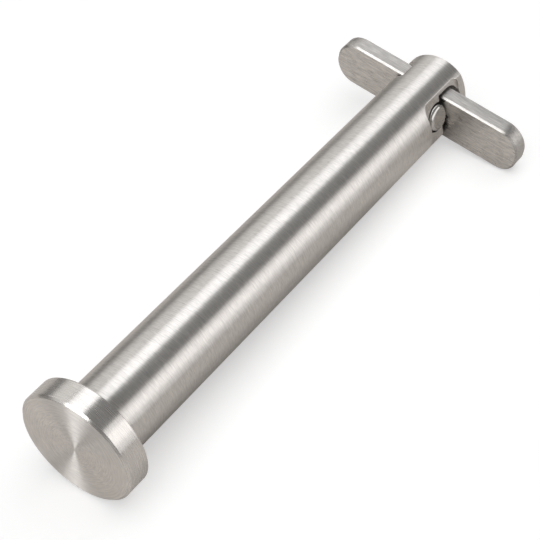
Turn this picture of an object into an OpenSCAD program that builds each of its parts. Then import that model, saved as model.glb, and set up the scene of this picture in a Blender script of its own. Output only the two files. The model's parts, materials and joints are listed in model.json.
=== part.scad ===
// Clevis pin with a flat cross bar: a headed round pin, a window through its plain end,
// a flat bar that slides through the window and a round keeper pin in front of the bar.
// The pin lies as it comes to rest: head rim, shank end and one corner of the bar on the ground.
// Before it is laid down, the shank's axis runs along +x from the middle of the head's face.

/* [Shank] */
// Diameter of the shank
shank_d = 20; // [19:0.5:26]
// Length of the shank from the head's underside to its plain end
shank_len = 148.3; // [90:0.1:260]
// Bevel round the plain end, measured across the shank
tip_bevel = 2.6; // [0.5:0.1:3]
// Length of that bevel along the shank
tip_bevel_len = 1.8; // [0.5:0.1:2.4]

/* [Head] */
// Diameter of the head
head_d = 30.6; // [26:0.2:40]
// Thickness of the head
head_t = 6.5; // [4:0.5:12]
// Bevel round the outer face of the head
head_bevel = 0.6; // [0.2:0.1:1.5]
// Bevel round the underside of the head
head_back_bevel = 0.2; // [0.1:0.1:0.5]

/* [Cross bar] */
// Length of the bar
bar_len = 58.1; // [44:0.1:90]
// Height of the bar across the shank
bar_h = 13; // [12.6:0.2:14]
// Thickness of the bar along the shank
bar_t = 5; // [4:0.2:6.6]
// Radius of both corners at the end that stands up
bar_corner_r = 6; // [2:0.1:6.1]
// Radius of the corner that touches the ground; the corner above it is round over half the bar's height
bar_heel_r = 5.2; // [2:0.1:6.1]
// Bevel along the edges of both broad faces
bar_bevel = 0.5; // [0.3:0.1:0.9]
// Middle of the bar's thickness from the shank's plain end
bar_from_tip = 8.4; // [8:0.1:12]
// How much further the bar stands out on its low side
bar_offset = 1.7; // [0:0.1:6]

/* [Window and flats] */
// Radius of the window's corners behind the bar
window_corner_r = 5.7; // [3:0.1:6]
// How far the flats and the keeper pin are turned round the shank from the bar
flat_roll = 20; // [0:1:24]
// Depth of the two sunk flats below the shank's round side
flat_depth = 2.5; // [2.2:0.1:3.5]
// Width of the cutter's path on each flat
flat_w = 13.4; // [13.4:0.1:16]
// Radius of the flats' corners
flat_corner_r = 3; // [1:0.1:4]
// Flat left between the mouth of the keeper pin's bore and the step towards the head
flat_margin = 2.1; // [1:0.1:10]
// Length left between the sunk flats and the shank's plain end
flat_land = 3.4; // [2.4:0.1:4]
// Depth of the shallow flats on that length below the shank's round side
land_depth = 2; // [0.5:0.1:2.1]

/* [Keeper pin] */
// Diameter of the keeper pin
keeper_d = 7.4; // [5:0.1:8]
// How far the keeper pin stands out of each flat
keeper_proud = 1.1; // [0.8:0.1:1.6]
// Radius round both ends of the keeper pin
keeper_edge_r = 1.2; // [0.3:0.1:1.4]
// Room round the keeper pin at the mouths of its bore
mouth_gap = 0.5; // [0.2:0.1:0.8]
// Depth of that room below the flats
mouth_depth = 1.2; // [0.5:0.1:2]

/* [Fits] */
// Room under the bar in its window
bar_low_gap = 0.45; // [0.3:0.05:0.6]
// Room above the bar in its window
bar_top_gap = 1.2; // [0.6:0.1:1.3]
// Clearance between the bar and what holds its two broad faces
bar_face_gap = 0.05; // [0.02:0.01:0.1]
// How far the window runs past the bar on the keeper pin's side
window_front_gap = 1.6; // [0.4:0.1:2]
// Radial clearance of the keeper pin in its bore
keeper_gap = 0.02; // [0.01:0.01:0.05]

/* [Hidden] */
$fn = 96;

shank_r = shank_d / 2;
head_r = head_d / 2;
bar_half = bar_h / 2;
keeper_r = keeper_d / 2;
tip_x = head_t + shank_len;
bevel_x = tip_x - tip_bevel_len;
bar_x = tip_x - bar_from_tip;
bar_front_x = bar_x - bar_t / 2;
bar_back_x = bar_x + bar_t / 2;

// The bar's lower back edge bears in the window's round corner.
window_low = bar_half + bar_low_gap;
window_top = bar_half + bar_top_gap;
corner_run = window_corner_r - sqrt(pow(window_corner_r, 2) - pow(window_corner_r - bar_low_gap, 2));
window_back_x = bar_back_x - bar_bevel + corner_run + bar_face_gap;
window_front_x = bar_front_x - window_front_gap;

// The keeper pin bears on the bar's front face, where its bore opens into the window.
keeper_x = bar_front_x - bar_face_gap - keeper_r;
bore_r = keeper_r + keeper_gap;
mouth_r = keeper_r + mouth_gap;
flat_from_axis = shank_r - flat_depth;
keeper_half = flat_from_axis + keeper_proud;
flat_front_x = keeper_x - mouth_r - flat_margin;
flat_back_x = tip_x - flat_land;
flat_x = (flat_front_x + flat_back_x) / 2;

// The head's back rim and the bevel's edge at the plain end touch the ground, which gives the pitch.
rim_x = head_t - head_back_bevel;
pitch = atan((head_r - shank_r) / (bevel_x - rim_x));
axis_z = rim_x * sin(pitch) + head_r * cos(pitch);
// The bar's low corner touches the ground too, which gives the roll.
heel_y = bar_len / 2 + bar_offset - bar_heel_r;
heel_z = bar_half - bar_heel_r;
heel_drop = (axis_z - (bar_back_x - bar_bevel) * sin(pitch)) / cos(pitch) - bar_heel_r;
roll = asin(heel_drop / norm([heel_y, heel_z])) - atan(heel_z / heel_y);
// The origin is on the ground, under the middle of the whole pin.
low_x = -(head_r - head_bevel) * sin(pitch);
high_x = tip_x * cos(pitch) + (shank_r - tip_bevel) * sin(pitch);
middle_x = (low_x + high_x) / 2;
low_end = -bar_offset - bar_len / 2;
high_end = bar_len / 2 - bar_offset;
corner_y = high_end - bar_corner_r;
corner_z = bar_half - bar_corner_r;
low_y = (low_end + bar_half) * cos(roll) - bar_half;
high_y = corner_y * cos(roll) + corner_z * sin(roll) + bar_corner_r;
middle_y = (low_y + high_y) / 2;

// Room by which a cutter runs past what it cuts
over = 1;

// Lays a piece that is drawn along the shank's own axis down on the ground
module laid_down() {
    translate([-middle_x, -middle_y, axis_z])
        rotate([0, pitch, 0])
            rotate([roll, 0, 0])
                children();
}

// What is outside a round corner of radius r, in the quarter where x and y are positive
module outside_corner(r) {
    difference() {
        square(r + over);
        circle(r);
    }
}

module shank_and_head() {
    rotate([0, 90, 0])
        rotate_extrude()
            polygon([
                [0, 0],
                [head_r - head_bevel, 0],
                [head_r, head_bevel],
                [head_r, rim_x],
                [head_r - head_back_bevel, head_t],
                [shank_r, head_t],
                [shank_r, bevel_x],
                [shank_r - tip_bevel, tip_x],
                [0, tip_x]
            ]);
}

// The opening that the bar slides through, with square corners in front and round ones behind
module window() {
    length = window_back_x - window_front_x;
    translate([window_front_x, 0, 0])
        rotate([90, 0, 0])
            linear_extrude(2 * (shank_r + over), center = true)
                difference() {
                    translate([0, -window_low])
                        square([length, window_low + window_top]);
                    translate([length - window_corner_r, window_top - window_corner_r])
                        outside_corner(window_corner_r);
                    translate([length - window_corner_r, window_corner_r - window_low])
                        mirror([0, 1, 0])
                            outside_corner(window_corner_r);
                }
}

// One sunk flat, milled into the side that faces +y
module sunk_flat() {
    length = flat_back_x - flat_front_x;
    translate([flat_x, flat_from_axis, 0])
        rotate([-90, 0, 0])
            linear_extrude(flat_depth + over)
                difference() {
                    square([length, flat_w], center = true);
                    for (end = [0, 1], side = [0, 1])
                        mirror([end, 0, 0])
                            mirror([0, side, 0])
                                translate([length / 2 - flat_corner_r, flat_w / 2 - flat_corner_r])
                                    outside_corner(flat_corner_r);
                }
}

// The shallow flat that runs on from the sunk one to the plain end
module end_flat() {
    translate([flat_x, shank_r - land_depth, -shank_r])
        cube([tip_x + over - flat_x, land_depth + over, shank_d]);
}

// The keeper pin's bore, with a wider mouth where it opens on the +y flat
module keeper_bore() {
    translate([keeper_x, 0, 0])
        rotate([-90, 0, 0]) {
            cylinder(r = bore_r, h = 2 * (shank_r + over), center = true);
            translate([0, 0, flat_from_axis - mouth_depth])
                cylinder(r = mouth_r, h = mouth_depth + flat_depth + over);
        }
}

module pin_body() {
    color("silver")
        laid_down()
            difference() {
                shank_and_head();
                window();
                for (side = [0, 180])
                    rotate([side - flat_roll, 0, 0]) {
                        sunk_flat();
                        end_flat();
                        keeper_bore();
                    }
            }
}

// The bar's cross section with its four bevels, for a stretch of the outline from y = low to y = high
module bar_section(low, high) {
    x = bar_t / 2;
    polygon([
        [bar_bevel - x, low],
        [x - bar_bevel, low],
        [x, low + bar_bevel],
        [x, high - bar_bevel],
        [x - bar_bevel, high],
        [bar_bevel - x, high],
        [-x, high - bar_bevel],
        [-x, low + bar_bevel]
    ]);
}

// A round corner of the bar with radius r and the same bevels, about the point y, z
module bar_corner(y, z, r) {
    translate([0, y, z])
        rotate([0, 90, 0])
            rotate_extrude()
                polygon([
                    [0, -bar_t / 2],
                    [r - bar_bevel, -bar_t / 2],
                    [r, bar_bevel - bar_t / 2],
                    [r, bar_t / 2 - bar_bevel],
                    [r - bar_bevel, bar_t / 2],
                    [0, bar_t / 2]
                ]);
}

module cross_bar() {
    color("lightgray")
        laid_down()
            translate([bar_x, 0, 0]) {
                // Full height between the ends
                translate([0, corner_y, 0])
                    rotate([90, 0, 0])
                        linear_extrude(corner_y - low_end - bar_half)
                            bar_section(-bar_half, bar_half);
                // The end that stands up
                translate([0, 0, -corner_z])
                    linear_extrude(2 * corner_z)
                        bar_section(0, high_end);
                for (z = [-corner_z, corner_z])
                    bar_corner(corner_y, z, bar_corner_r);
                // The end that touches the ground
                bar_corner(low_end + bar_half, 0, bar_half);
                bar_corner(-heel_y, -heel_z, bar_heel_r);
                translate([0, 0, -heel_z])
                    linear_extrude(heel_z)
                        bar_section(low_end, 0);
                rotate([90, 0, 0])
                    linear_extrude(heel_y)
                        bar_section(-bar_half, 0);
            }
}

module keeper_pin() {
    color("gray")
        laid_down()
            rotate([-flat_roll, 0, 0])
                translate([keeper_x, 0, 0])
                    rotate([90, 0, 0])
                        rotate_extrude()
                            difference() {
                                translate([0, -keeper_half])
                                    square([keeper_r, 2 * keeper_half]);
                                for (end = [0, 1])
                                    mirror([0, end, 0])
                                        translate([keeper_r - keeper_edge_r, keeper_half - keeper_edge_r])
                                            outside_corner(keeper_edge_r);
                            }
}

pin_body();
cross_bar();
keeper_pin();
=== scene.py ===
"""Looks, light and camera for the clevis pin with its cross bar."""

import json
from math import cos, pi, radians, sin

import bpy
from mathutils import Matrix, Vector

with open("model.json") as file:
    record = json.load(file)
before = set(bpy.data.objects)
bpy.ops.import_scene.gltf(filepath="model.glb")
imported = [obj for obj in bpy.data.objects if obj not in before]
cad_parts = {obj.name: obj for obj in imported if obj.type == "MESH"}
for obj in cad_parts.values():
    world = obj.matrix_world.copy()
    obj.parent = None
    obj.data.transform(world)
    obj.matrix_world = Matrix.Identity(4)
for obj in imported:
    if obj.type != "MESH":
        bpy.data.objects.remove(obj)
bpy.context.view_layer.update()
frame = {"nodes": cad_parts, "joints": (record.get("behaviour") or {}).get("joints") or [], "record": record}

MM = 0.001
WORLD_X = Vector((1, 0, 0))
WORLD_UP = Vector((0, 0, 1))

# Directions and places of the pin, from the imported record.
mounts = {mount["name"]: mount for mount in frame["record"]["mounts"]}
PIN_AXIS = Vector(mounts["shank"]["axis"]).normalized()
SHANK_MIDDLE = Vector(mounts["shank"]["pos_m"])
SHANK_RADIUS = mounts["shank"]["dims"]["r_mm"] * MM
BAR_AXIS = Vector(frame["joints"][0]["axis"]).normalized()
BAR_UP = PIN_AXIS.cross(BAR_AXIS)
# The flats face along this axis, which is turned round the shank from the bar.
FLAT_ROLL = 20.0
FLAT_AXIS = BAR_UP * sin(radians(FLAT_ROLL)) - BAR_AXIS * cos(radians(FLAT_ROLL))

# Camera, as the photograph was taken: lengths in metres, angles in degrees, lens and sensor in millimetres.
CAMERA_AIM = Vector((-8.12, -36.03, 0)) * MM
CAMERA_DISTANCE = 376.8 * MM
CAMERA_HEADING = 30.963
CAMERA_ELEVATION = 50.933
CAMERA_ROLL = 2.2
CAMERA_LENS = 103.28
CAMERA_SENSOR = 36.0
CAMERA_NEAR = 0.01
# The photograph is cut from a larger picture, so its middle is off the camera's line of sight.
CAMERA_SHIFT = (-0.2181, 0.1763)

# All lamps stand this far from the pin, in metres.
LAMP_DISTANCE = 0.9
# Soft boxes along X that the steel mirrors: the angle of their middle up from the +Y horizon and their width,
# both in degrees, then brightness, tint, and where they start and end along X in metres.
BOX_ENDS = (-1.4, 1.4)
FRONT_ENDS = (-0.75, 1.4)
SOFT_BOXES = {
    "top": (72.7, 32.5, 1.35, (1.0, 1.01, 1.03), BOX_ENDS),
    "back": (37.5, 34, 0.66, (1.0, 0.985, 0.965), BOX_ENDS),
    "front": (155, 52, 0.8, (1.0, 0.98, 0.97), FRONT_ENDS),
    "front_core": (152.5, 23, 0.52, (1.0, 0.98, 0.97), FRONT_ENDS),
}
# The overhead soft box that lights the ground alone: angle, width and brightness.
KEY_BOX = (91, 60, 1.65)
# A panel in front of the head, which the bevels and the head's turned face catch: direction, size and brightness.
PANEL_TOWARD = Vector((-0.78, 0.23, 0.55)).normalized()
PANEL_SIZE = (0.5, 0.55)
PANEL_BRIGHTNESS = 3.2
# What surrounds everything for all but the camera, so the steel mirrors it between the lamps.
SURROUND = (0.255, 0.253, 0.25)

# From the middle of the ground to its edges, in metres.
FLOOR_HALF = 3.0
# The ground as the camera sees it, with a glow that keeps its shadows light, and as the steel mirrors it.
FLOOR_SEEN = (0.59, 0.59, 0.59)
FLOOR_GLOW = 0.475
FLOOR_MIRRORED = (0.658, 0.628, 0.603)
# Painted shadow: the share of its light that the mirrored ground loses beside the shank, on this side of it, and
# where:
# each pair says over which distances from the shank's middle, across the pin and along it, the loss rises or falls.
BESIDE_TOWARD = (0, -1, 0)
SHADOW_LOST_BESIDE = 0.34
BESIDE_ACROSS = ((-4 * MM, 6 * MM), (18 * MM, 34 * MM))
BESIDE_ALONG = ((-70 * MM, -55 * MM), (40 * MM, 54 * MM))
# The share that it loses far in front of the head, and where that ends.
LOST_AHEAD = 0.6
AHEAD_ALONG = (-200 * MM, -130 * MM)

# Each steel's lines: how much they change its colour, how much its marks change its roughness, the depth of the
# grooves in metres, and the radius by which its edges are broken in the shading.
TURNED_LINES = {"contrast": 0.135, "swing": 0.014, "depth": 0.0016 * MM, "edge": 0.3 * MM}
BAR_LINES = {"contrast": 0.22, "swing": 0.04, "depth": 0.005 * MM, "edge": 0.08 * MM}
KEEPER_LINES = {"contrast": 0.03, "swing": 0.02, "depth": 0.002 * MM, "edge": 0.08 * MM}
EDGE_SAMPLES = 8
# Nearly all of a noise lies between these values.
NOISE_RANGE = (0.3, 0.7)

TURNED_COLOUR = (0.69, 0.668, 0.642)
TURNED_STRETCH = 0.95
SHANK_ROUGHNESS = 0.365
# The head's rim is finer than the shank, its flat face is coarser and lighter, and its lines are fainter.
RIM_ROUGHNESS = 0.27
FACE_ROUGHNESS = 0.4
FACE_TONE = 1.16
HEAD_LINES = 0.55
HEAD_STARTS = (1.05 * SHANK_RADIUS, 1.1 * SHANK_RADIUS)
# How the normal lies against the pin's axis where the head's flat face starts.
FACE_TURN = (-0.9, -0.97)
# Painted shade: the walls of the window and the bore keep this share of the steel's colour, as the shade that falls
# inside them. They lie below the flats, inside the shank's round side, and between two places along the pin: each
# pair says where they start or end.
WINDOW_SHADE_TONE = 0.12
WINDOW_SHADE_HEIGHT = (6.8 * MM, 7.4 * MM)
WINDOW_SHADE_RADIUS = (SHANK_RADIUS - 0.2 * MM, SHANK_RADIUS - 0.1 * MM)
WINDOW_SHADE_ALONG = ((59 * MM, 60 * MM), (80 * MM, 81 * MM))

BAR_COLOUR = (0.64, 0.62, 0.595)
BAR_STRETCH = 0.4
BAR_ROUGHNESS = 0.3
# The bar's narrow faces and its bevels are duller than its ground broad faces, and the narrow ones are rougher.
NARROW_FACE_TONE = 0.77
BAR_BEVEL_TONE = 0.68
NARROW_FACE_ROUGHNESS = 0.46
# How far the normal lies along the pin's axis from the narrow faces to the bevels, and on to the broad faces.
BEVEL_TURN = (0.1, 0.4)
BEVEL_SMOOTH_TURN = (0.1, 0.5)
BROAD_TURN = (0.85, 0.95)

KEEPER_COLOUR = (0.56, 0.55, 0.53)
KEEPER_STRETCH = 0.0
KEEPER_ROUGHNESS = 0.16

# Lathe lines and marks: how many there are in a metre, how fast they change round the axis, and their noise's
# detail and roughness.
LATHE = {"Lines": (5600.0, 5.0, 3.0, 0.6), "Marks": (2400.0, 3.0, 2.0, 0.55)}
# Straight lines and specks: how many there are in a metre across them, the share by which the noise changes
# more slowly along them, which makes them long, and its detail and roughness.
GRAIN = {"Lines": (4400.0, 0.93, 3.0, 0.6), "Marks": (1900.0, 0.8, 2.0, 0.6)}


def plug(tree, socket, value):
    """Links a socket to the value if that is a socket too, and otherwise sets it."""
    if isinstance(value, bpy.types.NodeSocket):
        tree.links.new(value, socket)
    elif value is not None:
        socket.default_value = value


def vector_math(tree, operation, first, second=None):
    node = tree.nodes.new("ShaderNodeVectorMath")
    node.operation = operation
    for socket, value in zip(node.inputs, (first, second)):
        plug(tree, socket, value)
    return node.outputs["Value" if operation in ("DOT_PRODUCT", "LENGTH") else "Vector"]


def scaled(tree, vector, factor):
    node = tree.nodes.new("ShaderNodeVectorMath")
    node.operation = "SCALE"
    plug(tree, node.inputs["Vector"], vector)
    plug(tree, node.inputs["Scale"], factor)
    return node.outputs["Vector"]


def number_math(tree, operation, first, second=None):
    node = tree.nodes.new("ShaderNodeMath")
    node.operation = operation
    for socket, value in zip(node.inputs, (first, second)):
        plug(tree, socket, value)
    return node.outputs["Value"]


def product(tree, first, *others):
    for other in others:
        first = number_math(tree, "MULTIPLY", first, other)
    return first


def spread(tree, value, low, high, to_low, to_high):
    """The value between low and high, spread over another range and held at its ends."""
    node = tree.nodes.new("ShaderNodeMapRange")
    for socket, number in zip(node.inputs, (value, low, high, to_low, to_high)):
        plug(tree, socket, number)
    return node.outputs["Result"]


def band(tree, value, rise, fall):
    """One between two pairs of values, and zero outside them: it rises over the first and falls over the second."""
    return product(tree, spread(tree, value, *rise, 0.0, 1.0), spread(tree, value, *fall, 1.0, 0.0))


def noise(tree, place, scale, detail, roughness):
    node = tree.nodes.new("ShaderNodeTexNoise")
    plug(tree, node.inputs["Vector"], place)
    node.inputs["Scale"].default_value = scale
    node.inputs["Detail"].default_value = detail
    node.inputs["Roughness"].default_value = roughness
    return node.outputs["Fac"]


def object_place(tree):
    return tree.nodes.new("ShaderNodeTexCoord").outputs["Object"]


def place_from_shank(tree):
    return vector_math(tree, "SUBTRACT", object_place(tree), SHANK_MIDDLE)


def turned(tree, vector, kind, source, target):
    """The vector in the target's directions instead of the source's, which are WORLD or OBJECT."""
    node = tree.nodes.new("ShaderNodeVectorTransform")
    node.vector_type = kind
    node.convert_from = source
    node.convert_to = target
    plug(tree, node.inputs["Vector"], vector)
    return node.outputs["Vector"]


def object_normal(tree):
    normal = tree.nodes.new("ShaderNodeNewGeometry").outputs["Normal"]
    return turned(tree, normal, "NORMAL", "WORLD", "OBJECT")


def new_group(name, inputs, outputs):
    tree = bpy.data.node_groups.new(name, "ShaderNodeTree")
    for label in inputs:
        tree.interface.new_socket(label, in_out="INPUT", socket_type="NodeSocketVector")
    for label in outputs:
        tree.interface.new_socket(label, in_out="OUTPUT", socket_type="NodeSocketFloat")
    return tree, tree.nodes.new("NodeGroupInput").outputs, tree.nodes.new("NodeGroupOutput").inputs


def use_group(tree, group, **given):
    node = tree.nodes.new("ShaderNodeGroup")
    node.node_tree = group
    for label, value in given.items():
        plug(tree, node.inputs[label], value)
    return node.outputs


def new_material(name):
    material = bpy.data.materials.new(name)
    material.use_nodes = True
    tree = material.node_tree
    tree.nodes.clear()
    output = tree.nodes.new("ShaderNodeOutputMaterial")
    shader = tree.nodes.new("ShaderNodeBsdfPrincipled")
    tree.links.new(shader.outputs["BSDF"], output.inputs["Surface"])
    return material, tree, shader


def add_camera():
    heading, elevation = radians(CAMERA_HEADING), radians(CAMERA_ELEVATION)
    forward = Vector((cos(heading) * cos(elevation), sin(heading) * cos(elevation), -sin(elevation)))
    level = forward.cross(WORLD_UP).normalized()
    right = Matrix.Rotation(radians(-CAMERA_ROLL), 3, forward) @ level
    up = right.cross(forward)
    data = bpy.data.cameras.new("camera")
    data.sensor_width = CAMERA_SENSOR
    data.lens = CAMERA_LENS
    data.shift_x, data.shift_y = CAMERA_SHIFT
    data.clip_start = CAMERA_NEAR
    camera = bpy.data.objects.new("camera", data)
    camera.matrix_world = Matrix.Translation(CAMERA_AIM - forward * CAMERA_DISTANCE) @ Matrix(
        (right, up, -forward)
    ).transposed().to_4x4()
    bpy.context.scene.collection.objects.link(camera)
    bpy.context.scene.camera = camera


def add_lamp(name, toward, side, size, brightness, tint=(1, 1, 1), shift=0.0):
    """A lamp in that direction from the pin, facing it, with its length along the side and shifted that way."""
    data = bpy.data.lights.new(name, "AREA")
    data.shape = "RECTANGLE"
    data.size, data.size_y = size
    data.energy = brightness * pi * data.size * data.size_y
    data.color = tint
    lamp = bpy.data.objects.new(name, data)
    lamp.matrix_world = Matrix.Translation(toward * LAMP_DISTANCE + side * shift) @ Matrix(
        (side, toward.cross(side), toward)
    ).transposed().to_4x4()
    bpy.context.scene.collection.objects.link(lamp)
    return lamp


def add_soft_box(name, angle, width, brightness, tint=(1, 1, 1), ends=BOX_ENDS):
    """A long lamp along X whose light covers the width in degrees round the angle, seen from the pin."""
    toward = Vector((0, cos(radians(angle)), sin(radians(angle))))
    size = (ends[1] - ends[0], 2 * LAMP_DISTANCE * sin(radians(width / 2)))
    return add_lamp(name, toward, WORLD_X, size, brightness, tint, sum(ends) / 2)


def add_world():
    """White behind everything for the camera, and the surround for what the steel mirrors."""
    world = bpy.data.worlds.new("surround")
    world.use_nodes = True
    bpy.context.scene.world = world
    nodes, links = world.node_tree.nodes, world.node_tree.links
    nodes.clear()
    output = nodes.new("ShaderNodeOutputWorld")
    surround = nodes.new("ShaderNodeBackground")
    surround.inputs["Color"].default_value = (*SURROUND, 1)
    white = nodes.new("ShaderNodeBackground")
    white.inputs["Color"].default_value = (1, 1, 1, 1)
    path = nodes.new("ShaderNodeLightPath")
    choose = nodes.new("ShaderNodeMixShader")
    links.new(path.outputs["Is Camera Ray"], choose.inputs["Fac"])
    links.new(surround.outputs["Background"], choose.inputs[1])
    links.new(white.outputs["Background"], choose.inputs[2])
    links.new(choose.outputs["Shader"], output.inputs["Surface"])


def add_light():
    bpy.context.scene.view_settings.view_transform = "Standard"
    for name, values in SOFT_BOXES.items():
        add_soft_box(name, *values).visible_diffuse = False
    add_soft_box("key", *KEY_BOX).visible_glossy = False
    level = WORLD_UP.cross(PANEL_TOWARD).normalized()
    add_lamp("panel", PANEL_TOWARD, level, PANEL_SIZE, PANEL_BRIGHTNESS).visible_diffuse = False
    add_world()


def mirrored_ground(tree):
    """The ground's colour as the steel mirrors it, with a painted shadow beside the shank, and darker far in front
    of the head.
    """
    place = place_from_shank(tree)
    across = vector_math(tree, "DOT_PRODUCT", place, BESIDE_TOWARD)
    along = vector_math(tree, "DOT_PRODUCT", place, PIN_AXIS)
    # A painted shadow on the mirrored ground beside the shank.
    beside = product(tree, band(tree, across, *BESIDE_ACROSS), band(tree, along, *BESIDE_ALONG), SHADOW_LOST_BESIDE)
    ahead = spread(tree, along, *AHEAD_ALONG, LOST_AHEAD, 0.0)
    left = number_math(tree, "SUBTRACT", number_math(tree, "SUBTRACT", 1.0, beside), ahead)
    return scaled(tree, FLOOR_MIRRORED, left)


def floor_material():
    material, tree, shader = new_material("floor")
    shader.inputs["Roughness"].default_value = 1.0
    shader.inputs["Specular IOR Level"].default_value = 0.0
    path = tree.nodes.new("ShaderNodeLightPath")
    colour = tree.nodes.new("ShaderNodeMix")
    colour.data_type = "RGBA"
    colour.inputs["A"].default_value = (*FLOOR_SEEN, 1)
    tree.links.new(mirrored_ground(tree), colour.inputs["B"])
    tree.links.new(path.outputs["Is Glossy Ray"], colour.inputs["Factor"])
    tree.links.new(colour.outputs["Result"], shader.inputs["Base Color"])
    shader.inputs["Emission Color"].default_value = (1, 1, 1, 1)
    tree.links.new(product(tree, path.outputs["Is Camera Ray"], FLOOR_GLOW), shader.inputs["Emission Strength"])
    return material


def add_floor():
    mesh = bpy.data.meshes.new("floor")
    corners = [(-1, -1), (1, -1), (1, 1), (-1, 1)]
    mesh.from_pydata([(x * FLOOR_HALF, y * FLOOR_HALF, 0) for x, y in corners], [], [(0, 1, 2, 3)])
    mesh.materials.append(floor_material())
    floor = bpy.data.objects.new("floor", mesh)
    bpy.context.scene.collection.objects.link(floor)


def turning_group():
    """Lathe lines round an axis: they follow each other along it, and outwards on a face square to it."""
    tree, given, result = new_group(
        "lathe_lines", ("Place", "Middle", "Axis"), ("Lines", "Marks", "Along", "Radius"))
    from_middle = vector_math(tree, "SUBTRACT", given["Place"], given["Middle"])
    along = vector_math(tree, "DOT_PRODUCT", from_middle, given["Axis"])
    radial = vector_math(tree, "SUBTRACT", from_middle, scaled(tree, given["Axis"], along))
    radius = vector_math(tree, "LENGTH", radial)
    outward = vector_math(tree, "NORMALIZE", radial)
    feed = number_math(tree, "ADD", along, radius)
    for label, (pitch, turn, detail, roughness) in LATHE.items():
        advance = scaled(tree, given["Axis"], product(tree, feed, pitch))
        place = vector_math(tree, "ADD", advance, scaled(tree, outward, turn))
        tree.links.new(noise(tree, place, 1.0, detail, roughness), result[label])
    tree.links.new(along, result["Along"])
    tree.links.new(radius, result["Radius"])
    return tree


def grain_group():
    """Straight grain: long thin lines along a direction, with short specks among them."""
    tree, given, result = new_group("straight_grain", ("Place", "Direction"), ("Lines", "Marks"))
    along = vector_math(tree, "DOT_PRODUCT", given["Place"], given["Direction"])
    for label, (pitch, slower, detail, roughness) in GRAIN.items():
        left_out = scaled(tree, given["Direction"], product(tree, along, slower))
        place = vector_math(tree, "SUBTRACT", given["Place"], left_out)
        tree.links.new(noise(tree, place, pitch, detail, roughness), result[label])
    return tree


def steel(name, stretch):
    material, tree, shader = new_material(name)
    shader.inputs["Metallic"].default_value = 1.0
    shader.inputs["Anisotropic"].default_value = stretch
    return material, tree, shader


def brushed(tree, shader, colour, roughness, lines, marks, contrast, swing, depth, edge):
    """Gives a steel its lines, in its colour, in its roughness and as fine grooves, and breaks its edges."""
    tone = product(
        tree,
        spread(tree, lines, *NOISE_RANGE, 1 - contrast, 1 + contrast),
        spread(tree, marks, *NOISE_RANGE, 1 - contrast / 2, 1 + contrast / 2),
    )
    tree.links.new(scaled(tree, colour, tone), shader.inputs["Base Color"])
    rough = number_math(tree, "ADD", roughness, spread(tree, marks, *NOISE_RANGE, -swing, swing))
    tree.links.new(rough, shader.inputs["Roughness"])
    edges = tree.nodes.new("ShaderNodeBevel")
    edges.samples = EDGE_SAMPLES
    edges.inputs["Radius"].default_value = edge
    bump = tree.nodes.new("ShaderNodeBump")
    bump.inputs["Strength"].default_value = 1.0
    bump.inputs["Distance"].default_value = depth
    tree.links.new(edges.outputs["Normal"], bump.inputs["Normal"])
    tree.links.new(lines, bump.inputs["Height"])
    tree.links.new(bump.outputs["Normal"], shader.inputs["Normal"])


def painted_window_shade(tree, along, radius):
    """One on the outside, and a painted shade below the flats, which darkens the walls of the window and the bore.
    """
    height = number_math(tree, "ABSOLUTE", vector_math(tree, "DOT_PRODUCT", place_from_shank(tree), FLAT_AXIS))
    painted_shade = product(
        tree,
        spread(tree, height, *WINDOW_SHADE_HEIGHT, 1 - WINDOW_SHADE_TONE, 0.0),
        spread(tree, radius, *WINDOW_SHADE_RADIUS, 1.0, 0.0),
        band(tree, along, *WINDOW_SHADE_ALONG),
    )
    return number_math(tree, "SUBTRACT", 1.0, painted_shade)


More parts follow.
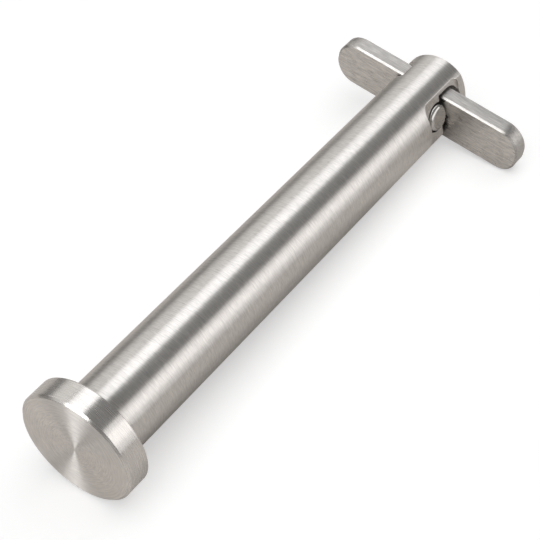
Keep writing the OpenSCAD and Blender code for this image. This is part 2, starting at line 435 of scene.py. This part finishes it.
def turned_steel(lathe_lines):
    """Turned round the pin's axis: its fine grooves run round, so its highlights stretch square to them."""
    material, tree, shader = steel("turned_steel", TURNED_STRETCH)
    lathe = use_group(tree, lathe_lines, Place=object_place(tree), Middle=SHANK_MIDDLE, Axis=PIN_AXIS)
    normal = object_normal(tree)
    around = vector_math(tree, "NORMALIZE", vector_math(tree, "CROSS_PRODUCT", PIN_AXIS, place_from_shank(tree)))
    across = vector_math(tree, "CROSS_PRODUCT", normal, around)
    tangent = vector_math(tree, "NORMALIZE", turned(tree, across, "VECTOR", "OBJECT", "WORLD"))
    tree.links.new(tangent, shader.inputs["Tangent"])

    on_head = spread(tree, lathe["Radius"], *HEAD_STARTS, 0.0, 1.0)
    on_face = spread(tree, vector_math(tree, "DOT_PRODUCT", normal, PIN_AXIS), *FACE_TURN, 0.0, 1.0)
    side = number_math(tree, "ADD", SHANK_ROUGHNESS, product(tree, on_head, RIM_ROUGHNESS - SHANK_ROUGHNESS))
    coarser = product(tree, on_face, number_math(tree, "SUBTRACT", FACE_ROUGHNESS, side))
    rough = number_math(tree, "ADD", side, coarser)
    # The tone holds the painted shade inside the window and the bore.
    tone = product(
        tree,
        spread(tree, on_face, 0.0, 1.0, 1.0, FACE_TONE),
        painted_window_shade(tree, lathe["Along"], lathe["Radius"]),
    )
    middle = sum(NOISE_RANGE) / 2
    strength = spread(tree, on_head, 0.0, 1.0, 1.0, HEAD_LINES)
    fainter = product(tree, number_math(tree, "SUBTRACT", lathe["Lines"], middle), strength)
    lines = number_math(tree, "ADD", middle, fainter)
    brushed(tree, shader, scaled(tree, TURNED_COLOUR, tone), rough, lines, lathe["Marks"], **TURNED_LINES)
    return material


def bar_steel(straight_grain):
    """Ground along the bar, with duller narrow faces and bevels."""
    material, tree, shader = steel("bar_steel", BAR_STRETCH)
    grain = use_group(tree, straight_grain, Place=object_place(tree), Direction=BAR_AXIS)
    facing = number_math(tree, "ABSOLUTE", vector_math(tree, "DOT_PRODUCT", object_normal(tree), PIN_AXIS))
    narrow = spread(tree, facing, *BEVEL_TURN, NARROW_FACE_TONE, BAR_BEVEL_TONE)
    broad = spread(tree, facing, *BROAD_TURN, 0.0, 1 - BAR_BEVEL_TONE)
    colour = scaled(tree, BAR_COLOUR, number_math(tree, "ADD", narrow, broad))
    rough = spread(tree, facing, *BEVEL_SMOOTH_TURN, NARROW_FACE_ROUGHNESS, BAR_ROUGHNESS)
    brushed(tree, shader, colour, rough, grain["Lines"], grain["Marks"], **BAR_LINES)
    return material


def keeper_steel(straight_grain):
    """Nearly smooth, with the grain's specks as its grooves."""
    material, tree, shader = steel("keeper_steel", KEEPER_STRETCH)
    grain = use_group(tree, straight_grain, Place=object_place(tree), Direction=BAR_AXIS)
    brushed(tree, shader, KEEPER_COLOUR, KEEPER_ROUGHNESS, grain["Marks"], grain["Lines"], **KEEPER_LINES)
    return material


def paint(node, material):
    mesh = frame["nodes"][node].data
    mesh.materials.clear()
    mesh.materials.append(material)


add_camera()
add_light()
add_floor()
lathe_lines, straight_grain = turning_group(), grain_group()
paint("pin_body", turned_steel(lathe_lines))
paint("cross_bar", bar_steel(straight_grain))
paint("keeper_pin", keeper_steel(straight_grain))
